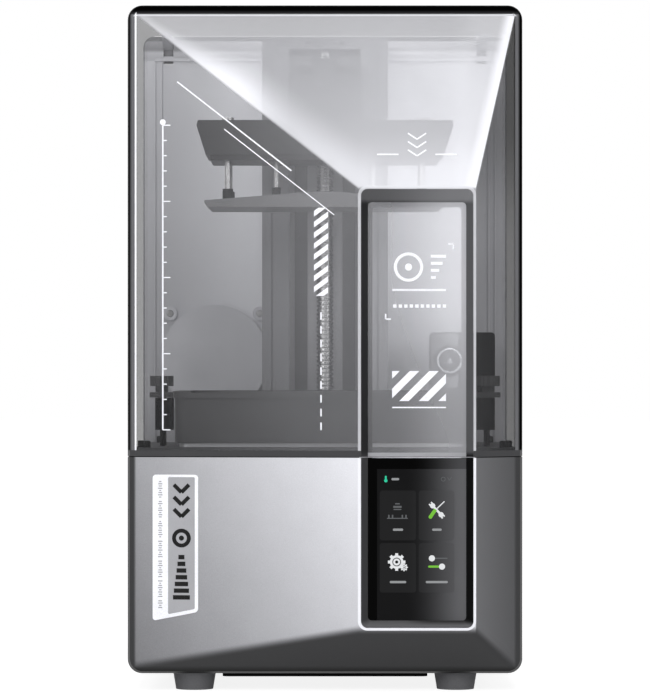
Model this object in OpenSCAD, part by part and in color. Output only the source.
// Desktop resin printer with a tinted flip-up lid. Millimetres, front towards -Y, up is +Z.
// The origin is on the table, under the centre of the machine.

/* [Machine] */
// Width of the whole machine
machine_w = 260; // [256:1:276]
// Depth of the whole machine
machine_d = 268; // [264:1:280]
// Height of the whole machine
machine_h = 451.5; // [449:0.5:470]
// Height of the rubber feet
foot_h = 11.5; // [10:0.5:14]
// Height of the top of the base, where the lid begins
split_z = 154; // [152:0.5:158]
// Thickness of the plastic walls
wall = 3; // [2.4:0.1:3.6]
// Radius of the outer corners, seen from the front
corner_r = 9.5; // [7:0.5:13]
// How far the front edge is rounded inwards
edge_in = 5; // [4:0.5:7]
// Depth of the rounded front edge
edge_d = 6; // [4:0.5:8]
// Radius of the rear edges
rear_r = 7; // [5:0.5:9]
// Gap between the lid and the base
seam_gap = 0.6; // [0.4:0.1:1]

/* [Front frame] */
// How far the frame stands in front of the outer edge
front_rise = 22; // [18:1:26]
// Width of the raised frame
frame_w = 76.6; // [72:0.2:82]
// Centre of the frame, to the right of the machine's centre
frame_x = 60.1; // [50:0.5:66]
// Bottom of the frame above the table
frame_z0 = 41.5; // [38:0.5:46]
// Distance of the frame's top below the machine's top
frame_down = 120.5; // [106:0.5:131]
// Corner radius of the frame
frame_r = 6; // [4:0.5:8]
// Width of the bright rim around the bezel
rim_w = 1.6; // [1.2:0.1:2.2]
// Width of the bevelled bezel at the sides and below
bezel_w = 4.6; // [3.5:0.1:6]
// Width of the bevelled bezel at the top
bezel_top = 8.7; // [6:0.1:11]
// Depth of the bevel
bezel_d = 5; // [4:0.5:6]
// Thickness of the glass and of the lid's window
glass_t = 2; // [1.5:0.1:2.5]
// Corner radius of the glass
glass_r = 2.6; // [2:0.1:4]
// Width of the ledge that holds the glass
ledge_w = 3; // [2:0.5:4]

/* [Lid] */
// Height of the plain band along the lid's bottom edge
lid_band = 4; // [3:0.5:6]
// Radius of the hinge barrel on the rear housing
barrel_r = 11.5; // [10.5:0.5:12]
// Radius of a hinge pin
hinge_pin_r = 3; // [2.5:0.1:3.5]
// Distance of the hinge arms from the machine's side
hinge_in = 18; // [16:1:30]
// Thickness of a hinge arm
hinge_arm_t = 6; // [5:0.5:7]
// Radius of a hinge arm around its pin
hinge_arm_r = 8; // [7:0.5:9]
// Length of a hinge arm along the lid's top
hinge_arm_l = 56; // [45:1:70]
// Length of a hinge pin past each side of its arm
hinge_pin_grip = 5; // [4:0.5:7]

/* [Rear housing] */
// Depth of the rear housing
rear_d = 21.5; // [21:0.5:24]
// Thickness of the rear cover
rear_cover_t = 2.6; // [2:0.2:3]
// Width of the rim around the rear cover
rear_rim = 12; // [10:1:16]
// Gap between the filter cover and the machine's side
filter_side = 12.9; // [11:0.1:15]
// Thickness of the filter cover
filter_t = 4; // [3:0.5:4]
// Gap between the filter cover and the column
filter_gap = 5.5; // [3.5:0.5:8]
// Filter centre above the table
filter_z = 220; // [212:1:230]
// Distance of the filter cover's screws inside its outline
filter_screw_in = 6.3; // [5:0.1:8]
// Width of the filter cover outside the air hole
filter_lip = 11.3; // [10:0.1:14]
// How much wider the exhaust fan is than its air hole
fan_rim = 6; // [4:1:8]
// Thickness of the exhaust fan
fan_t = 12; // [11:0.5:12.5]
// Number of blades on a fan
fan_blades = 7; // [5:1:9]
// Width of a vent slot in the rear cover
vent_w = 3; // [2.4:0.2:3.6]
// Pitch of the vent slots
vent_pitch = 7; // [6:0.5:9]

/* [Z drive] */
// Width of the column cover
column_w = 88; // [84:1:94]
// Width of the slot in the column cover
slot_w = 50; // [49.6:0.2:54]
// Depth of the column cover
column_cover_d = 58; // [56:0.5:60]
// Distance of the column's top below the machine's top
column_gap = 7.5; // [5.5:0.5:9.5]
// Thickness of the column cap
cap_t = 8; // [7:0.5:9]
// Thickness of the column cover's sheet
cover_t = 2.5; // [2:0.1:3]
// Width of the column's aluminium web
web_w = 70; // [68:1:74]
// Thickness of the column's web
web_t = 6; // [5:0.5:7]
// Gap behind the web, between its legs
web_gap = 10.5; // [10:0.5:12]
// Width of a linear rail
rail_w = 9; // [8:0.5:10]
// Height of a linear rail
rail_h = 6.5; // [6:0.1:7]
// Distance of the rails from the centre
rail_x = 17; // [16:0.5:18]
// Spacing of the screw holes in a rail
rail_pitch = 25; // [20:1:30]
// Thickness of the sliding blocks, from the web to their front
block_h = 10; // [9.5:0.5:11]
// Width of a sliding block
block_w = 20; // [19:0.5:21]
// Length of a sliding block
block_l = 32; // [28:1:36]
// Thickness of the carriage plate
carriage_t = 6; // [5:0.5:7]
// Radius of the lead screw
screw_r = 6; // [5.5:0.1:6.5]
// Pitch of the visible thread
thread_pitch = 3; // [2.5:0.1:4]
// Depth of the thread
thread_d = 0.9; // [0.6:0.1:1.2]
// Distance from the screw's axis to the front of the carriage plate
screw_gap = 15; // [14.5:0.5:16]
// Radius of the nut's body
nut_r = 10; // [9.5:0.1:10.5]
// Radius of the nut's flange
nut_flange_r = 14; // [13:0.1:14.4]
// Length of the nut's body inside the arm
nut_l = 26; // [22:1:30]
// Side of the stepper motor
motor_w = 42.3; // [42:0.1:44]
// Height of the stepper motor
motor_h = 40; // [34:1:46]
// Radius of the motor's shaft
motor_shaft_r = 2.5; // [2.3:0.1:3]
// Radius of the motor's rotor
rotor_r = 13.5; // [12:0.5:15]
// Radius of the shaft coupler
coupler_r = 9.5; // [8:0.5:10.5]
// Length of the shaft coupler
coupler_l = 26; // [22:1:28]

/* [Platform] */
// Width of the arm
arm_w = 47.6; // [45:0.2:48]
// Height of the arm
arm_h = 46.8; // [44:0.2:47]
// Front of the arm, forward of the machine's centre
arm_front = 8; // [5:0.5:12]
// How far the platform head reaches past the build plate at its top
head_over = 5.5; // [4:0.5:8]
// How far the platform head stays inside the build plate at its bottom
head_under = 0.7; // [0:0.1:2]
// Height of the platform head
head_h = 23.3; // [21:0.1:25]
// How far the platform head stays inside the build plate, at the front and the back
head_in = 5; // [3:0.5:7]
// Thickness of the plate under the head
head_plate_t = 3.5; // [3:0.1:4]
// Width of the tongue that slides into the arm
tongue_w = 30; // [26:1:32]
// Height of the tongue
tongue_h = 12; // [10:0.5:14]
// Length of the tongue
tongue_l = 46; // [42:1:48]
// Gap between the build plate and the vat's wall, at each side
plate_side = 11; // [9:0.5:13]
// Gap between the build plate and the vat's wall, at the front and the back
plate_end = 19; // [17:0.5:21]
// Height of the build plate's flat edge
plate_edge = 4.5; // [4:0.1:6]
// Height of the build plate at its middle
plate_h = 10.2; // [9:0.1:12]
// Distance of the build plate's bottom below the machine's top, at rest
plate_down = 131; // [130:0.5:132.5]
// Gap between the build plate's middle and the head's lower plate
post_gap = 21.5; // [20:0.5:22]
// Radius of a guide post
post_r = 2; // [1.8:0.1:2.4]
// Distance of the outer guide posts from the build plate's side
post_in = 15.2; // [12:0.2:18]
// Distance of the guide posts from the build plate's front and back
post_end = 20; // [17:0.5:23]
// Distance of the spring posts from the centre
spring_x = 33; // [31:0.5:36]
// Radius of a spring post
spring_post_r = 1.6; // [1.4:0.1:2]
// Radius of a float spring
spring_r = 3.8; // [3.4:0.1:4.2]
// Width of the lock lever's tab
lever_w = 15.2; // [13:0.2:17]
// Height of the lock lever's tab
lever_h = 11; // [9:0.5:13]
// Thickness of the lock lever
lever_t = 4; // [3:0.5:4.5]
// Radius of the lock lever's pins
lever_pin_r = 1.5; // [1.3:0.1:1.6]

/* [Vat and screen] */
// How far the exposure screen reaches past the build plate, at each side
screen_side = 1.8; // [1:0.1:3]
// How far the exposure screen reaches past the build plate, at the front and the back
screen_end = 8; // [6:0.5:9]
// How far the exposure screen stands above the deck
screen_rise = 2.4; // [2.2:0.1:2.6]
// Thickness of the exposure screen
screen_t = 3.9; // [3.6:0.1:4.1]
// Thickness of the deck plate
deck_t = 3; // [2.6:0.1:3.2]
// Height of the deck plate's skirt
deck_skirt = 3; // [2.5:0.1:4]
// Gap between the deck plate and the machine's side
deck_in = 5; // [4.5:0.5:7]
// Gap between the vat and the machine's side, which holds the clamps
vat_side = 30.3; // [29:0.1:32]
// Gap between the front of the deck plate and the vat
vat_front = 8; // [6:0.5:12]
// Gap between the vat and the column
vat_rear = 5.2; // [4:0.1:8]
// Height of the vat's rim above the deck
vat_h = 37.3; // [34:0.1:40]
// Thickness of the vat's walls at the sides
vat_wall = 8; // [6:0.5:9]
// Corner radius of the vat
vat_r = 8; // [7:0.5:10]
// Height of the band around the vat's rim
vat_band = 4.7; // [4:0.1:6]
// Thickness of the release film
film_t = 0.3; // [0.2:0.1:0.3]
// Gap between the film and the exposure screen
film_gap = 0.3; // [0.3:0.05:0.5]
// Width of the film frame's bars
film_bar = 10; // [9:0.5:10.5]
// Distance of the vat's clamp screws from its side
clamp_out = 11.3; // [11:0.1:12]
// Radius of a clamp knob
knob_r = 8; // [7:0.1:9]
// Height of a clamp knob
knob_h = 6.9; // [6:0.1:8]
// Height of the neck under a clamp knob
knob_neck = 4; // [3:0.1:6]
// Thickness of the vat's ears
ear_t = 3.5; // [3:0.1:4.5]
// Height of the vat's support blocks
block_up = 21.8; // [18:0.2:24]

/* [Camera] */
// Width of the camera's housing
camera_w = 45.8; // [42:0.2:48]
// Height of the camera's housing
camera_h = 40; // [36:1:44]
// Depth of the camera's housing
camera_d = 22; // [18:1:26]
// Distance of the camera's centre from the machine's side
camera_in = 33.4; // [32:0.2:37]
// Camera centre above the table
camera_z = 218; // [212:1:226]
// Radius of the camera's lens
lens_r = 6.4; // [5.5:0.1:7.5]
// Length of the bracket behind the camera
bracket_l = 28; // [22:1:32]

/* [Base] */
// Width of the flange inside the base's top
flange_w = 12; // [10:0.5:14]
// Radius of a foot at its top
foot_r = 14.2; // [12:0.1:15]
// Radius of a foot at the table
foot_low_r = 12.3; // [10:0.1:13]
// Distance of the feet from the machine's side
foot_in = 43.5; // [38:0.5:46]
// Distance of the feet from the machine's front and back
foot_end = 46; // [44:0.5:50]
// Gap between the pan and the feet
pan_gap = 4.5; // [3:0.5:8]
// How far the pan hangs below the base
pan_drop = 2.9; // [2:0.1:4]
// Thickness of the pan's sheet
pan_t = 2; // [1.5:0.1:2.5]
// How far the light box reaches past the exposure screen, at each side
light_side = 2.5; // [2:0.5:5]
// How far the light box reaches past the exposure screen, at the front and the back
light_end = 2; // [1.5:0.5:4]
// Height of the light box
light_h = 82; // [74:1:86]
// Height of the heat sink
sink_h = 22; // [18:1:26]
// Number of fins on the heat sink
sink_fins = 11; // [8:1:14]
// Thickness of the cooling fan
cooler_t = 15; // [13:0.5:17]
// Margin of the LED board inside the light box, at each side
led_side = 27; // [24:1:32]
// Margin of the LED board inside the light box, at the front and the back
led_end = 10; // [8:1:14]
// Gap between the mainboard and the pan's side
board_side = 7.8; // [6:0.2:12]
// Depth of the mainboard
board_d = 60; // [54:1:64]
// Thickness of the display behind the touch glass
display_t = 7; // [5:0.5:9]
// Height of the power inlet and the switch above the table
port_z = 60; // [50:1:70]
// Distance of the power inlet from the machine's side
inlet_in = 50; // [46:1:54]
// Distance of the power switch from the machine's side
switch_in = 70; // [68:1:76]
// Width of the power switch
switch_w = 20; // [18:0.5:21]
// Centre of the data port, forward of the machine's centre
usb_y = 56.5; // [50:0.5:62]
// Height of the data port above the table
usb_z = 118; // [110:1:126]

/* [Hidden] */
$fn = 64;
corner_n = 8;
slice_t = 0.02;
fit = 0.2;
run_fit = 0.06;
seat_gap = 0.2;
cut = 1;

y_front = -machine_d / 2;
y_back = machine_d / 2;
half_w = machine_w / 2;
frame_z1 = machine_h - frame_down;
hinge_x = half_w - hinge_in;
camera_x = half_w - camera_in;
column_top = machine_h - column_gap;
plate_z = machine_h - plate_down;
foot_x = half_w - foot_in;
foot_y = machine_d / 2 - foot_end;
pan_x = foot_x - foot_r - pan_gap;
inlet_x = half_w - inlet_in;
switch_x = half_w - switch_in;
filter_r = (half_w - filter_side - web_w / 2 - filter_gap) / 2;
filter_x = web_w / 2 + filter_gap + filter_r;
filter_screws = 2 * (filter_r - filter_screw_in);
air_r = filter_r - filter_lip;
fan_w = 2 * air_r + fan_rim;
y_edge = y_front + front_rise;
lid_z = split_z + seam_gap;
rear_y = y_back - rear_d;
lid_back = rear_y - 0.5;
pivot_in = barrel_r + 0.5;
pivot_y = y_back - pivot_in;
pivot_z = machine_h - pivot_in;

glass_x0 = frame_x - frame_w / 2 + rim_w + bezel_w;
glass_x1 = frame_x + frame_w / 2 - rim_w - bezel_w;
glass_z0 = frame_z0 + rim_w + bezel_w;
glass_z1 = frame_z1 - rim_w - bezel_top;
glass_y = y_front + bezel_d;
ledge_y = glass_y + glass_t;
bezel_back = ledge_y + 2.5;

deck_z = split_z + deck_skirt + deck_t;
deck_y0 = y_edge + wall + edge_d;
flange_z = split_z - wall;
open_y0 = y_edge + wall + flange_w;
open_y1 = rear_y - 5;

web_y = rear_y - web_gap - web_t;
block_front = web_y - block_h;
carriage_y = block_front - carriage_t;
screw_y = carriage_y - screw_gap;
column_back = rear_y - filter_t - 0.3;
column_y = column_back - column_cover_d;
cap_z = column_top - cap_t;
coupler_z = deck_z + 3;
motor_top = deck_z - deck_t;

vat_w = machine_w - 2 * vat_side;
vat_x = vat_w / 2;
vat_y0 = deck_y0 + vat_front;
vat_y1 = column_y - vat_rear;
vat_end = vat_wall + 1;
clamp_x = vat_x + clamp_out;
screen_y = -(vat_y0 + vat_y1) / 2;
plate_w = vat_w - 2 * vat_wall - 2 * plate_side;
plate_d = vat_y1 - vat_y0 - 2 * vat_end - 2 * plate_end;
head_w = plate_w + 2 * head_over;
head_low_w = plate_w - 2 * head_under;
head_d = plate_d - 2 * head_in;
screen_w = plate_w + 2 * screen_side;
screen_d = plate_d + 2 * screen_end;
light_w = screen_w + 2 * light_side;
light_d = screen_d + 2 * light_end;
led_x = light_w / 2 - led_side;
led_y = light_d / 2 - led_end;
post_x = plate_w / 2 - post_in;
post_dy = plate_d - 2 * post_end;
post_y = [-screen_y - post_dy / 2, -screen_y + post_dy / 2];
post_xy = [for (x = [-post_x, post_x], y = post_y) [x, y]];
spring_xy = [for (x = [-spring_x, spring_x]) [x, -screen_y]];
plate_top = plate_z + plate_h;
head_plate_z = plate_top + post_gap;
head_z = head_plate_z + head_plate_t;
head_top = head_z + head_h;
arm_z = head_top + seat_gap;
arm_top = arm_z + arm_h;
lever_y = -arm_front + 9;
lever_z = arm_top - 9.5;
spring_cup_z = head_z + 17;
spring_flange_z = head_z + 3;
collar_h = 8;
collar_z = plate_z + plate_edge + 0.5;

film_z = deck_z + screen_rise + film_gap;
vat_z = film_z + film_t;
vat_top = deck_z + vat_h;
ear_z = vat_top - vat_band + 0.2;
support_top = ear_z - seat_gap;
knob_z = ear_z + ear_t + seat_gap;

light_z = motor_top - light_h;
sink_z = light_z - 3 - sink_h;
cooler_z = sink_z - cooler_t;
camera_back = rear_y - bracket_l;

// ---------------------------------------------------------------- shared shapes

// A flat rectangle with true round corners.
module round_rect(w, h, r) {
    square([w - 2 * r, h], center = true);
    square([w, h - 2 * r], center = true);
    for (x = [-1, 1], y = [-1, 1])
        translate([x * (w / 2 - r), y * (h / 2 - r)])
            circle(r);
}

// A box given by its low and high corners.
module span(low, high) {
    translate(low) cube(high - low);
}

// A standing plate with round corners, given in X and Z, from y0 back to y1.
module upright(x0, x1, z0, z1, r, y0, y1) {
    translate([(x0 + x1) / 2, y1, (z0 + z1) / 2])
        rotate([90, 0, 0])
            linear_extrude(y1 - y0)
                round_rect(x1 - x0, z1 - z0, r);
}

// A lying plate with round corners, given in X and Y, from z0 up to z1.
module flat(x0, x1, y0, y1, r, z0, z1) {
    translate([(x0 + x1) / 2, (y0 + y1) / 2, z0])
        linear_extrude(z1 - z0)
            round_rect(x1 - x0, y1 - y0, r);
}

// A cylinder along Y, from y0 back to y1.
module rod_y(x, z, r, y0, y1) {
    translate([x, y1, z])
        rotate([90, 0, 0])
            cylinder(r = r, h = y1 - y0);
}

// A cylinder along X, from x0 to x1.
module rod_x(y, z, r, x0, x1) {
    translate([x0, y, z])
        rotate([0, 90, 0])
            cylinder(r = r, h = x1 - x0);
}

// The points of a quarter circle, from angle a on.
function corner(x, z, r, a) =
    [for (i = [0 : corner_n]) [x + r * cos(a + 90 * i / corner_n), z + r * sin(a + 90 * i / corner_n)]];

// A ring of points at depth y: a rectangle with round corners, given in X and Z.
function ring(y, x0, x1, z0, z1, r) = [for (p = concat(
    corner(x1 - r, z1 - r, r, 0), corner(x0 + r, z1 - r, r, 90),
    corner(x0 + r, z0 + r, r, 180), corner(x1 - r, z0 + r, r, 270))) [p.x, y, p.y]];

// One ring of the machine's outline, inset on all four sides.
function form_ring(y, inset) =
    ring(y, -half_w + inset, half_w - inset, foot_h + inset, machine_h - inset,
         max(corner_r - inset / 2, 2));

// The ring at the front of the raised frame, inset on all four sides.
function frame_ring(y, inset) =
    ring(y, frame_x - frame_w / 2 + inset, frame_x + frame_w / 2 - inset,
         frame_z0 + inset, frame_z1 - inset, frame_r - inset);

// A closed skin over rings of equal length, listed from the front backwards.
module loft(rings) {
    n = len(rings[0]);
    last = len(rings) - 1;
    polyhedron(
        points = [for (r = rings) each r],
        faces = concat(
            [[for (i = [n - 1 : -1 : 0]) i]],
            [[for (i = [0 : n - 1]) last * n + i]],
            [for (k = [0 : last - 1], i = [0 : n - 1])
                [k * n + i, k * n + (i + 1) % n, (k + 1) * n + (i + 1) % n]],
            [for (k = [0 : last - 1], i = [0 : n - 1])
                [k * n + i, (k + 1) * n + (i + 1) % n, (k + 1) * n + i]]));
}

// The whole machine's form, smaller by t on every side. Its front is four facets up to the frame.
module form(t) {
    loft([
        frame_ring(y_front + t, t / 5),
        form_ring(y_edge + t, edge_in + t),
        form_ring(y_edge + t + edge_d * 0.4, edge_in * 0.3 + t),
        form_ring(y_edge + t + edge_d, t),
        form_ring(y_back - t - rear_r, t),
        form_ring(y_back - t - rear_r * 0.3, rear_r * 0.3 + t),
        form_ring(y_back - t, rear_r + t)]);
}

// Everything between two heights.
module level(z0, z1) {
    span([-machine_w, -machine_d, z0], [machine_w, machine_d, z1]);
}

// Everything in front of a plane.
module before(y) {
    span([-machine_w, -machine_d, -cut], [machine_w, y, machine_h + cut]);
}

// The block behind the frame's rim, which holds the bezel.
module frame_block() {
    upright(frame_x - frame_w / 2, frame_x + frame_w / 2, frame_z0, frame_z1, frame_r,
            y_front, bezel_back);
}

// The bezel's outline, larger by gap on each side.
module bezel_block(gap, y0, y1) {
    upright(frame_x - frame_w / 2 + rim_w - gap, frame_x + frame_w / 2 - rim_w + gap,
            frame_z0 + rim_w - gap, frame_z1 - rim_w + gap, frame_r - rim_w,
            y0, y1);
}

// The glass outline, larger by grow on each side.
module glass_block(grow, y0, y1) {
    upright(glass_x0 - grow, glass_x1 + grow, glass_z0 - grow, glass_z1 + grow,
            glass_r, y0, y1);
}

// The bevel that runs from the rim down to the glass.
module bevel() {
    edge = rim_w + 0.6;
    front = ring(y_front - cut, frame_x - frame_w / 2 + edge, frame_x + frame_w / 2 - edge,
                 frame_z0 + edge, frame_z1 - edge, frame_r - edge);
    loft([front, [for (p = front) [p.x, y_front + 0.1, p.z]],
          ring(glass_y + slice_t, glass_x0, glass_x1, glass_z0, glass_z1, glass_r)]);
}

// The bezel as one ring. The lid and the base each take their share of it.
module bezel_ring() {
    difference() {
        bezel_block(-fit / 2, y_front + 0.1, bezel_back);
        bevel();
        glass_block(fit / 2, glass_y - slice_t, ledge_y);
        glass_block(-ledge_w, ledge_y - cut, bezel_back + cut);
    }
}

// The wall of the body's form, with the frame's rim and without the bezel's pocket.
module form_wall() {
    difference() {
        union() {
            difference() {
                form(0);
                form(wall);
            }
            intersection() {
                form(0);
                frame_block();
            }
        }
        bezel_block(0, y_front - cut, bezel_back + cut);
    }
}

// A rotor with blades around a hub, its axis along Z.
module fan_rotor(r, hub_r, bore_r, t) {
    difference() {
        union() {
            cylinder(r = hub_r, h = t);
            for (i = [0 : fan_blades - 1])
                rotate([0, 0, i * 360 / fan_blades])
                    translate([hub_r - 1, -0.8, t * 0.15])
                        rotate([28, 0, 0])
                            cube([r - hub_r + 1, 1.4, t * 0.62]);
        }
        translate([0, 0, -cut]) cylinder(r = bore_r, h = t + 2 * cut);
    }
}

// A square fan frame with a round duct, a hub and its axle, its axis along Z.
module fan_frame(w, r, hub_r, axle_r, t) {
    spoke_t = 1.6;
    difference() {
        linear_extrude(t) round_rect(w, w, 4);
        translate([0, 0, -cut]) cylinder(r = r, h = t + 2 * cut);
    }
    cylinder(r = hub_r, h = spoke_t);
    for (i = [0 : 3])
        rotate([0, 0, 45 + 90 * i])
            translate([0, -1.5, 0])
                cube([r + 1, 3, spoke_t]);
    cylinder(r = axle_r, h = t - 1);
}

// ---------------------------------------------------------------- base

module base_shell() {
    vent_x = 40;
    color("#8d8c92") difference() {
        intersection() {
            union() {
                form_wall();
                intersection() {
                    form(0);
                    level(flange_z, split_z);
                }
            }
            level(0, split_z);
        }
        bezel_block(0, y_front - cut, bezel_back + cut);
        span([-half_w + flange_w, open_y0, flange_z - cut], [half_w - flange_w, open_y1, split_z + cut]);
        span([-pan_x - fit, -pan_y(), -cut], [pan_x + fit, pan_y(), foot_h + wall + cut]);
        usb_opening();
        rod_y(-inlet_x, port_z, inlet_r() + fit, y_back - wall - cut, y_back + cut);
        span([-switch_x - switch_w / 2 - fit, y_back - wall - cut, port_z - switch_h() / 2 - fit],
             [-switch_x + switch_w / 2 + fit, y_back + cut, port_z + switch_h() / 2 + fit]);
        for (i = [0 : 11])
            span([vent_x + i * 6, y_back - wall - cut, port_z - 18],
                 [vent_x + 2.6 + i * 6, y_back + cut, port_z + 18]);
    }
}

function pan_y() = foot_y + 8;

module usb_opening() {
    span([half_w - wall - cut, -usb_y - 7, usb_z - 3.8], [half_w + cut, -usb_y + 7, usb_z + 3.8]);
}

module bottom_plate() {
    lip = 6;
    boss_r = 3;
    color("#2b2b2e") difference() {
        union() {
            flat(-pan_x, pan_x, -pan_y() + fit, pan_y() - fit, 4, foot_h - pan_drop, foot_h + wall);
            flat(-pan_x - lip, pan_x + lip, -pan_y() - lip, pan_y() + lip, 4,
                 foot_h + wall, foot_h + wall + pan_t);
        }
        flat(-pan_x + pan_t, pan_x - pan_t, -pan_y() + fit + pan_t, pan_y() - fit - pan_t, 3,
             foot_h - pan_drop + pan_t, foot_h + wall + pan_t + cut);
        for (i = [-8 : 8])
            span([i * 7 - 1.4, -70, foot_h - pan_drop - cut],
                 [i * 7 + 1.4, -10, foot_h - pan_drop + pan_t + cut]);
    }
    color("#2b2b2e") for (p = board_posts())
        translate([p.x, p.y, foot_h - pan_drop + pan_t])
            cylinder(r = boss_r, h = board_z() - (foot_h - pan_drop + pan_t));
}

function board_z() = foot_h + wall + pan_t + 6;
function board_x() = pan_x - board_side;
function board_y0() = foot_y - board_d;
function board_posts() = [for (x = [-1, 1], y = [board_y0() + 6, foot_y - 6]) [x * (board_x() - 6), y]];

module feet() {
    color("#333336") for (x = [-foot_x, foot_x], y = [-foot_y, foot_y])
        translate([x, y, 0])
            cylinder(r1 = foot_low_r, r2 = foot_r, h = foot_h);
}

module deck_plate() {
    x1 = half_w - deck_in;
    y1 = rear_y - 0.3;
    r = 6;
    lip = 3;
    skirt_t = 4;
    color("#6c6c70") difference() {
        flat(-x1, x1, deck_y0, y1, r, split_z, deck_z);
        flat(-x1 + skirt_t, x1 - skirt_t, deck_y0 + skirt_t, y1 - skirt_t, r - 2,
             split_z - cut, split_z + deck_skirt);
        screen_box(fit, deck_z + screen_rise - screen_t, deck_z + cut);
        screen_box(-lip, split_z, deck_z);
        translate([0, screw_y, split_z]) cylinder(r = motor_pilot_r() + 0.3, h = deck_t + deck_skirt + cut);
    }
}

function motor_pilot_r() = 11;

// A box in the exposure screen's place, larger by grow on each side.
module screen_box(grow, z0, z1) {
    flat(-screen_w / 2 - grow, screen_w / 2 + grow,
         -screen_y - screen_d / 2 - grow, -screen_y + screen_d / 2 + grow, 2, z0, z1);
}

module base_seal() {
    color("#111113") intersection() {
        difference() {
            form(0.5);
            form(wall - 0.5);
            bezel_block(1, y_front - cut, bezel_back + cut);
        }
        level(split_z, lid_z - 0.1);
        before(lid_back);
    }
}

module lcd_panel() {
    color("#16161a") screen_box(0, deck_z + screen_rise - screen_t, deck_z + screen_rise);
}

// The display behind the base's front frame.
module touch_glass() {
    color("#0a0a0c") intersection() {
        glass_block(0, glass_y, ledge_y);
        level(0, split_z - 0.2);
    }
}

module display_module() {
    in = ledge_w + 1.2;
    color("#3c3c40") span([glass_x0 + in, ledge_y, glass_z0 + in],
                          [glass_x1 - in, ledge_y + display_t, flange_z - 2]);
}

module screen_bezel() {
    color("#2a2a2d") intersection() {
        bezel_ring();
        level(0, split_z);
    }
}

// ---------------------------------------------------------------- rear housing

module rear_form() {
    intersection() {
        form(0);
        union() {
            span([-half_w, rear_y, split_z], [half_w, y_back, pivot_z]);
            rod_x(pivot_y, pivot_z, barrel_r, -half_w, half_w);
        }
    }
}

// The room for a hinge arm, cut out of the barrel.
module hinge_slot(side) {
    w = hinge_arm_t / 2 + 0.5;
    span([side * hinge_x - w, rear_y - barrel_r, pivot_z - hinge_arm_r - 1],
         [side * hinge_x + w, y_back + cut, machine_h + cut]);
}

module rear_cover_shape(gap, y0, y1) {
    upright(-half_w + rear_rim - gap, half_w - rear_rim + gap,
            split_z + rear_rim - gap, pivot_z - barrel_r - rear_rim + gap, 4, y0, y1);
}

module rear_panel() {
    pin_l = hinge_arm_t / 2 + hinge_pin_grip;
    color("#5a5a60") difference() {
        rear_form();
        span([-half_w + wall, rear_y + wall, split_z + wall],
             [half_w - wall, y_back - rear_cover_t - 2, pivot_z - barrel_r - 1]);
        rear_cover_shape(fit, y_back - rear_cover_t, y_back + cut);
        rear_cover_shape(-3, y_back - rear_cover_t - 2 - cut, y_back);
        rod_y(-filter_x, filter_z, air_r, rear_y - cut, rear_y + wall + cut);
        for (side = [-1, 1]) {
            hinge_slot(side);
            rod_x(pivot_y, pivot_z, hinge_pin_r + 0.03, side * hinge_x - pin_l, side * hinge_x + pin_l);
        }
    }
}

module rear_cover() {
    rows = 12;
    slot_l = 44;
    color("#3f3f44") difference() {
        rear_cover_shape(0, y_back - rear_cover_t, y_back);
        for (i = [0 : rows - 1])
            upright(-filter_x - slot_l / 2, -filter_x + slot_l / 2,
                    filter_z + (i - rows / 2 + 0.5) * vent_pitch * 0.6 - vent_w / 4,
                    filter_z + (i - rows / 2 + 0.5) * vent_pitch * 0.6 + vent_w / 4,
                    vent_w / 4 - 0.01, y_back - rear_cover_t - cut, y_back + cut);
    }
}

module hinge_pins() {
    pin_l = hinge_arm_t / 2 + hinge_pin_grip;
    color("#b8b8bc") for (side = [-1, 1])
        rod_x(pivot_y, pivot_z, hinge_pin_r, side * hinge_x - pin_l, side * hinge_x + pin_l);
}

module filter_cover() {
    screw_r = 2.5;
    boss_r = 5;
    rim_t = 3;
    face_t = 1.6;
    notches = 16;
    notch_w = 7;
    color("#707076") difference() {
        union() {
            rod_y(-filter_x, filter_z, filter_r, rear_y - filter_t, rear_y);
            for (x = [-1, 1], z = [-1, 1])
                rod_y(-filter_x + x * filter_screws / 2, filter_z + z * filter_screws / 2, boss_r,
                      rear_y - 1.6, rear_y);
        }
        rod_y(-filter_x, filter_z, filter_r - rim_t, rear_y - filter_t + face_t, rear_y + cut);
        // air comes in through notches in the rim
        for (i = [0 : notches - 1])
            translate([-filter_x, 0, filter_z]) rotate([0, (i + 0.5) * 360 / notches, 0])
                span([filter_r - 2 * rim_t, rear_y - filter_t + face_t, -notch_w / 2],
                     [filter_r + rim_t, rear_y + cut, notch_w / 2]);
        for (x = [-1, 1], z = [-1, 1])
            rod_y(-filter_x + x * filter_screws / 2, filter_z + z * filter_screws / 2, screw_r,
                  rear_y - 1.6 - cut, rear_y - 0.6);
    }
}

module filter_cartridge() {
    color("#2a2c2e") rod_y(-filter_x, filter_z, air_r - 0.3, rear_y + 0.1, rear_y + wall);
}

module exhaust_fan_frame() {
    color("#1b1b1e") translate([-filter_x, rear_y + wall + fan_t, filter_z])
        rotate([90, 0, 0])
            fan_frame(fan_w, fan_w / 2 - 2, 13, 1.5, fan_t);
}

module exhaust_fan_rotor() {
    color("#232327") translate([-filter_x, rear_y + wall + fan_t - 2.4, filter_z])
        rotate([90, 0, 0])
            fan_rotor(fan_w / 2 - 3.5, 12, 1.5 + run_fit, fan_t - 4);
}

// ---------------------------------------------------------------- Z drive

module z_column() {
    leg_t = 5;
    color("#9a9aa0") difference() {
        span([-web_w / 2, web_y, deck_z], [web_w / 2, rear_y, cap_z]);
        span([-web_w / 2 + leg_t, web_y + web_t, deck_z - cut],
             [web_w / 2 - leg_t, rear_y + cut, cap_z + cut]);
        span([-web_w, column_back, pivot_z - barrel_r - 2], [web_w, rear_y + cut, cap_z + cut]);
    }
}

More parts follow.
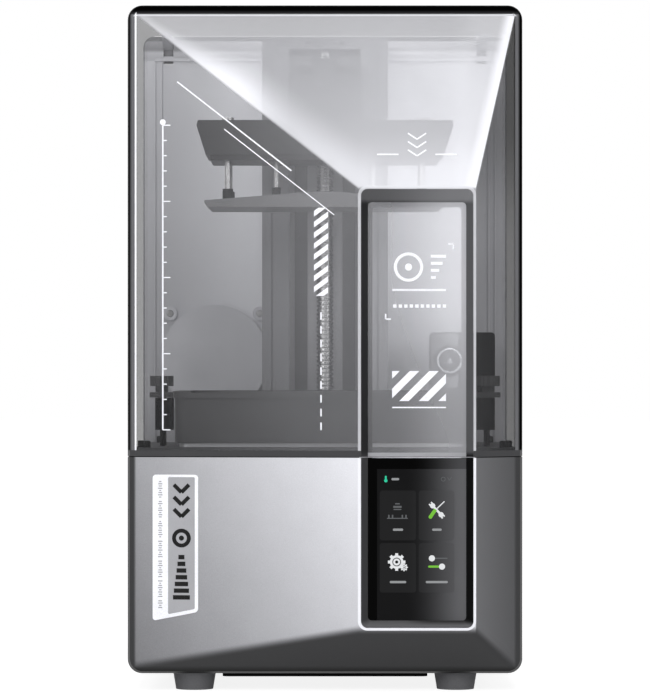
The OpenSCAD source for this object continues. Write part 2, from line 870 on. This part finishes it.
module column_cover() {
    lip_d = 6;
    groove_x = 37;
    x1 = column_w / 2;
    s1 = slot_w / 2;
    color("#6e6e74") difference() {
        union() {
            for (side = [-1, 1]) mirror([side < 0 ? 1 : 0, 0, 0]) {
                span([x1 - cover_t, column_y, deck_z], [x1, column_back, cap_z]);
                span([s1, column_y, deck_z], [x1, column_y + cover_t, cap_z]);
                span([s1, column_y, deck_z], [s1 + 2, column_y + lip_d, cap_z]);
            }
        }
        for (side = [-1, 1]) {
            span([side * groove_x - 0.5, column_y - cut, deck_z + 4],
                 [side * groove_x + 0.5, column_y + 0.8, cap_z - 4]);
            rod_y(side * 32, cap_z - 31, 2.6, column_y - cut, column_y + 1);
        }
    }
}

module column_cap() {
    color("#77777d") difference() {
        flat(-column_w / 2, column_w / 2, column_y, column_back, 1.5, cap_z, column_top);
        translate([0, screw_y, cap_z - cut]) cylinder(r = screw_journal_r() + run_fit, h = cap_t + cut - 1);
        for (x = [-12, 12]) rod_y(x, cap_z + cap_t / 2, 1.5, column_y - cut, column_y + 2);
    }
}

function screw_journal_r() = 4;

module linear_rails() {
    n = floor((cap_z - deck_z - 20) / rail_pitch);
    color("#c9c9cd") for (side = [-1, 1]) difference() {
        span([side * rail_x - rail_w / 2, web_y - rail_h, deck_z + 8],
             [side * rail_x + rail_w / 2, web_y, cap_z - 4]);
        for (i = [0 : n - 1])
            rod_y(side * rail_x, deck_z + 20 + i * rail_pitch, 2.6,
                  web_y - rail_h - cut, web_y - rail_h + 3);
    }
}

block_z = arm_z + 10;

module rail_blocks() {
    gap = 0.3;
    color("#a6a6ab") for (side = [-1, 1]) difference() {
        span([side * rail_x - block_w / 2 * 0.98, block_front, block_z],
             [side * rail_x + block_w / 2 * 0.98, web_y - 1.5, block_z + block_l]);
        span([side * rail_x - rail_w / 2 - gap, web_y - rail_h - gap, block_z - cut],
             [side * rail_x + rail_w / 2 + gap, web_y, block_z + block_l + cut]);
    }
}

module carriage_plate() {
    x1 = rail_x + block_w / 2 + 1;
    color("#8a8a90") span([-x1, carriage_y, arm_z + 4], [x1, block_front, arm_top - 1]);
}

module screw_nut() {
    flange_t = 4;
    color("#c2a25a") difference() {
        union() {
            translate([0, screw_y, arm_z - flange_t]) cylinder(r = nut_flange_r, h = flange_t);
            translate([0, screw_y, arm_z - flange_t]) cylinder(r = nut_r, h = flange_t + nut_l);
        }
        translate([0, screw_y, arm_z - flange_t - cut])
            cylinder(r = screw_r + run_fit, h = flange_t + nut_l + 2 * cut);
    }
}

// Thread crests stand as plain rings, so the screw looks the same at every turn.
module lead_screw() {
    z0 = coupler_z + coupler_l;
    z1 = cap_z - 1.5;
    n = floor((z1 - z0) / thread_pitch);
    p = thread_pitch;
    root_r = screw_r - thread_d;
    profile = concat(
        [[0, z0], [root_r, z0]],
        [for (i = [0 : n - 1]) each [
            [root_r, z0 + (i + 0.15) * p], [screw_r, z0 + (i + 0.4) * p],
            [screw_r, z0 + (i + 0.7) * p], [root_r, z0 + (i + 0.95) * p]]],
        [[root_r, z1], [0, z1]]);
    color("#d6d6da") translate([0, screw_y, 0]) {
        rotate_extrude() polygon(profile);
        translate([0, 0, coupler_z + coupler_l / 2 + 0.5])
            cylinder(r = screw_journal_r(), h = coupler_l / 2);
        translate([0, 0, z1 - 0.5]) cylinder(r = screw_journal_r(), h = cap_t - 0.5);
    }
}

module shaft_coupler() {
    color("#55555a") translate([0, screw_y, coupler_z]) difference() {
        cylinder(r = coupler_r, h = coupler_l);
        translate([0, 0, -cut]) cylinder(r = motor_shaft_r + run_fit / 2, h = coupler_l);
        translate([0, 0, coupler_l / 2]) cylinder(r = screw_journal_r() + run_fit / 2, h = coupler_l);
    }
}

motor_z = motor_top - motor_h;

module motor_housing() {
    color("#1f1f22") difference() {
        union() {
            flat(-motor_w / 2, motor_w / 2, screw_y - motor_w / 2, screw_y + motor_w / 2, 4,
                 motor_z, motor_top);
            translate([0, screw_y, motor_top - cut]) cylinder(r = motor_pilot_r(), h = 2 + cut);
        }
        translate([0, screw_y, motor_z + 4]) cylinder(r = rotor_r + 0.5, h = motor_h - 11);
        translate([0, screw_y, motor_z + 2]) cylinder(r = motor_shaft_r + run_fit, h = motor_h + 4);
    }
}

module motor_rotor() {
    color("#b5b5ba") translate([0, screw_y, 0]) {
        translate([0, 0, motor_z + 5]) cylinder(r = rotor_r, h = motor_h - 13);
        translate([0, 0, motor_z + 2.3])
            cylinder(r = motor_shaft_r, h = coupler_z + coupler_l / 2 - motor_z - 3);
    }
}

// ---------------------------------------------------------------- arm and platform

module z_arm() {
    arch_h = 6;
    pocket_z = arm_top - 12;
    arch_r = (pow(arm_w / 2 - 1, 2) + arch_h * arch_h) / (2 * arch_h);
    color("#66666b") difference() {
        translate([-arm_w / 2, 0, 0])
            rotate([90, 0, 90])
                linear_extrude(arm_w)
                    polygon([[carriage_y, arm_z], [-arm_front + 4, arm_z], [-arm_front, arm_z + 4],
                             [-arm_front, arm_top - 6], [-arm_front + 4, arm_top], [carriage_y, arm_top]]);
        // channel for the platform's tongue
        span([-tongue_w / 2 - fit, -arm_front - cut, arm_z - cut],
             [tongue_w / 2 + fit, tongue_y1() + fit, arm_z + tongue_h + fit]);
        // seat of the nut and way for the screw
        translate([0, screw_y, arm_z - cut]) cylinder(r = nut_r + run_fit, h = nut_l + cut + fit);
        translate([0, screw_y, arm_z]) cylinder(r = screw_r + 1, h = arm_h + cut);
        // arched pocket of the lever
        intersection() {
            rod_y(0, pocket_z + arch_h - arch_r, arch_r, -arm_front - cut, lever_y + 4);
            span([-arm_w, -arm_front - cut, pocket_z], [arm_w, lever_y + 4, arm_top]);
        }
        span([-lever_w / 2 - 0.6, -arm_front - cut, pocket_z],
             [lever_w / 2 + 0.6, lever_y + 4, arm_top + cut]);
        rod_x(lever_y, lever_z, lever_pin_r + run_fit, -lever_w / 2 - 14, lever_w / 2 + 14);
    }
}

function tongue_y1() = tongue_l - 4;

module lock_lever() {
    tab_y = -arm_front - 0.3;
    color("#7b7b81") {
        translate([-lever_w / 2, 0, 0])
            rotate([90, 0, 90])
                linear_extrude(lever_w) {
                    translate([lever_y, lever_z]) circle(r = 2.3);
                    polygon([[lever_y, lever_z + 2.3], [tab_y - lever_t, lever_z + 2.3],
                             [tab_y - lever_t, lever_z - 2 - lever_h], [tab_y, lever_z - 2 - lever_h],
                             [tab_y, lever_z - 1.5], [lever_y, lever_z - 1.5]]);
                }
        rod_x(lever_y, lever_z, lever_pin_r, -lever_w / 2 - 13, lever_w / 2 + 13);
    }
}

head_y0 = -screen_y - head_d / 2;
head_y1 = -screen_y + head_d / 2;

module platform_head() {
    edge = 3.5;
    color("#6a6a6f") difference() {
        union() {
            translate([0, head_y1, 0])
                rotate([90, 0, 0])
                    linear_extrude(head_d)
                        polygon([[-head_low_w / 2, head_z], [head_low_w / 2, head_z],
                                 [head_w / 2, head_top - edge], [head_w / 2 - 1, head_top],
                                 [-head_w / 2 + 1, head_top], [-head_w / 2, head_top - edge]]);
            span([-tongue_w / 2, -4, head_top - cut], [tongue_w / 2, tongue_y1(), arm_z + tongue_h]);
        }
        for (p = post_xy)
            translate([p.x, p.y, head_z - cut]) cylinder(r = post_r + run_fit, h = head_h + 2 * cut);
        for (p = spring_xy)
            translate([p.x, p.y, head_z - cut])
                cylinder(r = spring_r + 0.5, h = spring_cup_z - head_z + cut);
    }
}

module head_base_plate() {
    color("#8b8b91") difference() {
        flat(-head_low_w / 2 + 3, head_low_w / 2 - 3, head_y0 + 2, head_y1 - 2, 3, head_plate_z, head_z);
        for (p = post_xy)
            translate([p.x, p.y, head_plate_z - cut])
                cylinder(r = post_r + run_fit, h = head_plate_t + 2 * cut);
        for (p = spring_xy)
            translate([p.x, p.y, head_plate_z - cut])
                cylinder(r = spring_post_r + run_fit, h = head_plate_t + 2 * cut);
    }
}

module build_plate() {
    ridge = 8;
    foot = 3;
    y0 = -screen_y - plate_d / 2;
    color("#5f5f64") difference() {
        translate([0, y0 + plate_d, 0])
            rotate([90, 0, 0])
                linear_extrude(plate_d)
                    polygon([[-plate_w / 2 + foot, plate_z], [plate_w / 2 - foot, plate_z],
                             [plate_w / 2, plate_z + foot * 0.9], [plate_w / 2, plate_z + plate_edge],
                             [ridge, plate_top], [-ridge, plate_top],
                             [-plate_w / 2, plate_z + plate_edge], [-plate_w / 2, plate_z + foot * 0.9]]);
        for (p = concat(post_xy, spring_xy))
            translate([p.x, p.y, collar_z]) cylinder(r = collar_r(p) + 0.1, h = plate_h);
        for (p = post_xy)
            translate([p.x, p.y, plate_z + 2]) cylinder(r = post_r + 0.03, h = plate_h);
        for (p = spring_xy)
            translate([p.x, p.y, plate_z + 2]) cylinder(r = spring_post_r + 0.03, h = plate_h);
    }
}

// Outer radius of the collar at a post.
function collar_r(p) = abs(p.x) == post_x ? post_r + 1.6 : spring_post_r + 1.4;

module post_collars() {
    color("#19191c") {
        for (p = post_xy) translate([p.x, p.y, collar_z]) difference() {
            cylinder(r = collar_r(p), h = collar_h);
            translate([0, 0, -cut]) cylinder(r = post_r + 0.03, h = collar_h + 2 * cut);
        }
        for (p = spring_xy) translate([p.x, p.y, collar_z]) difference() {
            cylinder(r = collar_r(p), h = collar_h + 2);
            translate([0, 0, -cut]) cylinder(r = spring_post_r + 0.03, h = collar_h + 4 * cut);
        }
    }
}

module guide_posts() {
    head_r = 4;
    color("#d9d9dd") for (p = post_xy) translate([p.x, p.y, 0]) {
        translate([0, 0, plate_z + 2.2]) cylinder(r = post_r, h = head_top - plate_z - 1);
        translate([0, 0, head_top + 0.1]) cylinder(r = head_r, h = 2.4);
    }
}

module spring_posts() {
    color("#d9d9dd") for (p = spring_xy) translate([p.x, p.y, 0]) {
        translate([0, 0, plate_z + 2.2])
            cylinder(r = spring_post_r, h = spring_flange_z + 1 - plate_z - 2.2);
        translate([0, 0, spring_flange_z]) cylinder(r = spring_r + 0.2, h = 2);
    }
}

module float_springs() {
    color("#b0b0b5") for (p = spring_xy) translate([p.x, p.y, spring_flange_z + 2]) difference() {
        cylinder(r = spring_r, h = spring_cup_z - spring_flange_z - 2.1);
        translate([0, 0, -cut]) cylinder(r = spring_r - 1.2, h = spring_cup_z);
    }
}

// ---------------------------------------------------------------- vat

module vat_body() {
    lip = 1.2;
    spout_r = 50;
    spout_x = vat_x - vat_wall - 10;
    color("#3a3a3f") difference() {
        union() {
            flat(-vat_x, vat_x, vat_y0, vat_y1, vat_r, vat_z, vat_top);
            flat(-vat_x - lip, vat_x + lip, vat_y0 - lip, vat_y1 + lip, vat_r, vat_top - vat_band, vat_top);
            for (side = [-1, 1]) mirror([side < 0 ? 1 : 0, 0, 0])
                flat(vat_x - 4, clamp_x + 8, -screen_y - 12, -screen_y + 12, 5, ear_z, ear_z + ear_t);
        }
        flat(-vat_x + vat_wall, vat_x - vat_wall, vat_y0 + vat_end, vat_y1 - vat_end, vat_r - 2,
             vat_z - cut, vat_top + cut);
        rod_y(-spout_x, vat_top + spout_r - 1.4, spout_r, vat_y0 - 2 * lip, vat_y0 + vat_wall + 2);
        for (side = [-1, 1])
            translate([side * clamp_x, -screen_y, ear_z - cut])
                cylinder(r = clamp_screw_r() + 0.4, h = ear_t + 2 * cut);
    }
}

function clamp_screw_r() = 3;

module vat_film() {
    in = 4;
    color([0.85, 0.87, 0.9, 0.5])
        flat(-vat_x + in, vat_x - in, vat_y0 + in, vat_y1 - in, vat_r - 3, film_z, vat_z);
}

module film_frame() {
    in = 3;
    color("#9c9ca2") difference() {
        flat(-vat_x + in, vat_x - in, vat_y0 + in, vat_y1 - in, vat_r - 2, deck_z + seat_gap, film_z);
        flat(-vat_x + in + film_bar, vat_x - in - film_bar,
             vat_y0 + in + film_bar + 4, vat_y1 - in - film_bar - 4,
             vat_r - 4, deck_z - cut, film_z + cut);
        for (p = film_screw_xy()) translate([p.x, p.y, deck_z - cut]) cylinder(r = 2.3, h = 2.7);
    }
}

function film_screw_xy() = concat(
    [for (i = [-4 : 4], y = [vat_y0 + 7, vat_y1 - 7]) [i * (vat_x - 12) / 4, y]],
    [for (x = [-1, 1], j = [-1 : 1]) [x * (vat_x - 7), -screen_y + j * film_screw_pitch()]]);

function film_screw_pitch() = 32;

module film_screws() {
    color("#c8c8cc") for (p = film_screw_xy())
        translate([p.x, p.y, deck_z + seat_gap + 0.1]) cylinder(r = 2.1, h = 1.3);
}

module vat_supports() {
    block_d = 20;
    bore_l = 14;
    post_y = 7;
    x0 = vat_x + 3.2;
    x1 = clamp_x + 4.2;
    z0 = support_top - block_up;
    color("#1e1e21") for (side = [-1, 1]) mirror([side < 0 ? 1 : 0, 0, 0]) {
        difference() {
            flat(x0, x1, -screen_y - block_d / 2, -screen_y + block_d / 2, 2, z0, support_top);
            translate([clamp_x, -screen_y, support_top - bore_l])
                cylinder(r = clamp_screw_r() + run_fit, h = bore_l + cut);
        }
        for (y = [-post_y, post_y])
            translate([clamp_x - 1, -screen_y + y, deck_z]) cylinder(r = 1.9, h = z0 - deck_z + 1);
    }
}

module clamp_knob(side) {
    grips = 12;
    color("#4c4c51") translate([side * clamp_x, -screen_y, 0]) {
        difference() {
            translate([0, 0, knob_z + knob_neck]) cylinder(r = knob_r, h = knob_h);
            for (i = [0 : grips - 1]) rotate([0, 0, i * 360 / grips])
                translate([knob_r + 0.4, 0, knob_z + knob_neck - cut])
                    cylinder(r = 1, h = knob_h + 2 * cut);
        }
        translate([0, 0, knob_z]) cylinder(r = 4.4, h = knob_neck + 0.5);
        translate([0, 0, support_top - 13]) cylinder(r = clamp_screw_r(), h = knob_z - support_top + 14);
    }
}

module vat_knob_left() { clamp_knob(-1); }

module vat_knob_right() { clamp_knob(1); }

// ---------------------------------------------------------------- camera

camera_front = camera_back - camera_d;

module camera_housing() {
    color("#1d1d20") difference() {
        upright(camera_x - camera_w / 2, camera_x + camera_w / 2,
                camera_z - camera_h / 2, camera_z + camera_h / 2, 3, camera_front, camera_back);
        rod_y(camera_x - lens_off(), camera_z, lens_r + 3.6, camera_front - cut, camera_front + 2);
        rod_y(camera_x - lens_off(), camera_z, lens_r + 0.1, camera_front - cut, camera_front + 8);
    }
}

function lens_off() = 9;

module camera_lens() {
    color("#060608") rod_y(camera_x - lens_off(), camera_z, lens_r, camera_front + 0.4, camera_front + 8);
    color("#060608") translate([camera_x - lens_off(), camera_front + 0.41, camera_z])
        rotate([90, 0, 0]) cylinder(r1 = lens_r, r2 = lens_r - 1.5, h = 1.8);
}

module camera_bracket() {
    w = 14;
    x0 = camera_x + 4;
    z0 = camera_z - camera_h / 2 + 3;
    z1 = camera_z + camera_h / 2 - 3;
    color("#26262a") translate([x0, 0, 0])
        rotate([90, 0, 90])
            linear_extrude(w)
                polygon([[camera_back, z0 + 8], [camera_back, z1 - 6], [rear_y, z1 - 6],
                         [rear_y, z0 - 14], [rear_y - 5, z0 - 14]]);
}

// ---------------------------------------------------------------- light box and electronics

module light_housing() {
    t = 2;
    x1 = light_w / 2;
    y0 = -screen_y - light_d / 2;
    y1 = -screen_y + light_d / 2;
    color("#c4c4c8") difference() {
        flat(-x1, x1, y0, y1, 3, light_z, motor_top);
        flat(-x1 + t, x1 - t, y0 + t, y1 - t, 2, light_z + t, motor_top + cut);
        span([-led_x + 6, -screen_y - led_y + 5, light_z - cut],
             [led_x - 6, -screen_y + led_y - 5, light_z + t + cut]);
    }
}

module led_board() {
    lens_r = 6;
    side_margin = 16;
    end_margin = 18;
    dx = (led_x - side_margin) / 2;
    dy = led_y - end_margin;
    color("#2f6b3c") span([-led_x, -screen_y - led_y, light_z - 3], [led_x, -screen_y + led_y, light_z]);
    color("#f2f0d8") for (i = [-2 : 2], j = [-1 : 1])
        translate([i * dx, -screen_y + j * dy, light_z - cut])
            cylinder(r1 = lens_r, r2 = lens_r - 2, h = 5 + cut);
}

module heat_sink() {
    w = 2 * led_x - 20;
    d = 2 * led_y - 12;
    base_t = 5;
    fin_t = 2;
    color("#8f9094") {
        span([-w / 2, -screen_y - d / 2, light_z - 3 - base_t], [w / 2, -screen_y + d / 2, light_z - 3]);
        for (i = [0 : sink_fins - 1])
            translate([-w / 2 + i * (w - fin_t) / (sink_fins - 1), -screen_y - d / 2, sink_z])
                cube([fin_t, d, sink_h - base_t + 0.5]);
    }
}

module cooling_fan_frame() {
    color("#1b1b1e") translate([0, -screen_y, cooler_z]) fan_frame(fan_w, fan_w / 2 - 2, 13, 1.5, cooler_t);
}

module cooling_fan_rotor() {
    color("#232327") translate([0, -screen_y, cooler_z + 2.4])
        fan_rotor(fan_w / 2 - 3.5, 12, 1.5 + run_fit, cooler_t - 4);
}

module mainboard() {
    z = board_z();
    t = 1.6;
    plug_w = 10;
    plug_d = 6;
    plug_pitch = 15;
    plugs = floor((2 * board_x() - plug_d) / plug_pitch);
    chips = [[-30, 16, 14], [6, 22, 12], [34, 38, 9]];  // X, distance from the front edge, size
    color("#20603a") span([-board_x(), board_y0(), z], [board_x(), foot_y, z + t]);
    color("#17171a") for (p = chips)
        span([p.x, board_y0() + p.y, z + t], [p.x + p.z, board_y0() + p.y + p.z, z + t + 2.5]);
    color("#e8e4d4") for (i = [0 : plugs - 1])
        translate([-board_x() + 4 + i * plug_pitch, foot_y - 4 - plug_d, z + t])
            cube([plug_w, plug_d, 7]);
    color("#3a6ea5") for (side = [-1, 1])
        translate([side * (board_x() - 14), board_y0() + 34, z + t]) cylinder(r = 5, h = 11);
}

module usb_port() {
    x1 = half_w - wall;
    color("#9a9aa0") difference() {
        span([x1 - 18, -usb_y - 7.5, usb_z - 4.2], [x1, -usb_y + 7.5, usb_z + 4.2]);
        span([x1 - 16, -usb_y - 6.4, usb_z - 2.9], [x1 + cut, -usb_y + 6.4, usb_z + 2.9]);
    }
    color("#f0f0f0") span([x1 - 17, -usb_y - 5, usb_z + 0.6], [x1 - 5, -usb_y + 5, usb_z + 2.4]);
}

module dc_inlet() {
    y1 = y_back - wall;
    color("#111113") difference() {
        union() {
            rod_y(-inlet_x, port_z, inlet_r(), y1 - 14, y_back - 0.3);
            rod_y(-inlet_x, port_z, inlet_r() + 2.1, y1 - 2, y1);
        }
        rod_y(-inlet_x, port_z, 3.2, y1 - 9, y_back + cut);
    }
    color("#d0d0d4") rod_y(-inlet_x, port_z, 1, y1 - 10, y_back - 1);
}

function inlet_r() = 4.4;

function switch_h() = 13.2;

module power_switch() {
    y1 = y_back;
    well_x = switch_w / 2 - 2;
    color("#0e0e10") difference() {
        span([-switch_x - switch_w / 2, y1 - 16, port_z - switch_h() / 2],
             [-switch_x + switch_w / 2, y1 - 0.3, port_z + switch_h() / 2]);
        span([-switch_x - well_x, y1 - 11, port_z - 4.9], [-switch_x + well_x, y1 + cut, port_z + 4.9]);
        rod_x(y1 - 5, port_z, 1 + run_fit, -switch_x - well_x - 1, -switch_x + well_x + 1);
    }
}

module power_rocker() {
    y = y_back - 5;
    tilt = 8;
    rocker_x = switch_w / 2 - 2.4;
    color("#2c2c30") {
        translate([-switch_x - rocker_x, y, port_z])
            rotate([90, 0, 90])
                linear_extrude(2 * rocker_x)
                    rotate(tilt)
                        polygon([[-3, -3.6], [3.4, -4.2], [2.6, 0], [3.4, 4.2], [-3, 3.6]]);
        rod_x(y, port_z, 1, -switch_x - rocker_x - 1.2, -switch_x + rocker_x + 1.2);
    }
}

// ---------------------------------------------------------------- lid

module lid_limits() {
    difference() {
        before(lid_back);
        rod_x(pivot_y, pivot_z, barrel_r + 0.5, -machine_w, machine_w);
    }
}

module lid_shell() {
    color([0.5, 0.5, 0.53, 0.45]) intersection() {
        form_wall();
        level(lid_z + lid_band, machine_h);
        lid_limits();
    }
    color([0.8, 0.8, 0.83, 0.45]) intersection() {
        glass_block(0, glass_y, ledge_y);
        level(lid_z + 0.1, machine_h);
    }
}

module lid_rim() {
    color("#4a4a4e") intersection() {
        form_wall();
        level(lid_z, lid_z + lid_band);
        before(lid_back);
    }
}

module lid_bezel() {
    color("#2a2a2d") intersection() {
        bezel_ring();
        level(lid_z, machine_h);
    }
}

module hinge_arms() {
    top = machine_h - wall - 0.1;
    color("#3b3b3f") for (side = [-1, 1])
        translate([side * hinge_x - hinge_arm_t / 2, 0, 0])
            rotate([90, 0, 90])
                linear_extrude(hinge_arm_t)
                    difference() {
                        union() {
                            translate([pivot_y, pivot_z]) circle(r = hinge_arm_r);
                            polygon([[pivot_y, top], [pivot_y - hinge_arm_l, top],
                                     [pivot_y - hinge_arm_l, top - 3], [pivot_y - 12, top - 8],
                                     [pivot_y, pivot_z]]);
                        }
                        translate([pivot_y, pivot_z]) circle(r = hinge_pin_r + run_fit);
                    }
}

base_shell();
bottom_plate();
feet();
deck_plate();
base_seal();
lcd_panel();
touch_glass();
display_module();
screen_bezel();
rear_panel();
rear_cover();
hinge_pins();
filter_cover();
filter_cartridge();
exhaust_fan_frame();
exhaust_fan_rotor();
z_column();
column_cover();
column_cap();
linear_rails();
rail_blocks();
carriage_plate();
screw_nut();
lead_screw();
shaft_coupler();
motor_housing();
motor_rotor();
z_arm();
lock_lever();
platform_head();
head_base_plate();
build_plate();
guide_posts();
spring_posts();
post_collars();
float_springs();
vat_body();
vat_film();
film_frame();
film_screws();
vat_supports();
vat_knob_left();
vat_knob_right();
camera_housing();
camera_lens();
camera_bracket();
light_housing();
led_board();
heat_sink();
cooling_fan_frame();
cooling_fan_rotor();
mainboard();
usb_port();
dc_inlet();
power_switch();
power_rocker();
lid_shell();
lid_rim();
lid_bezel();
hinge_arms();
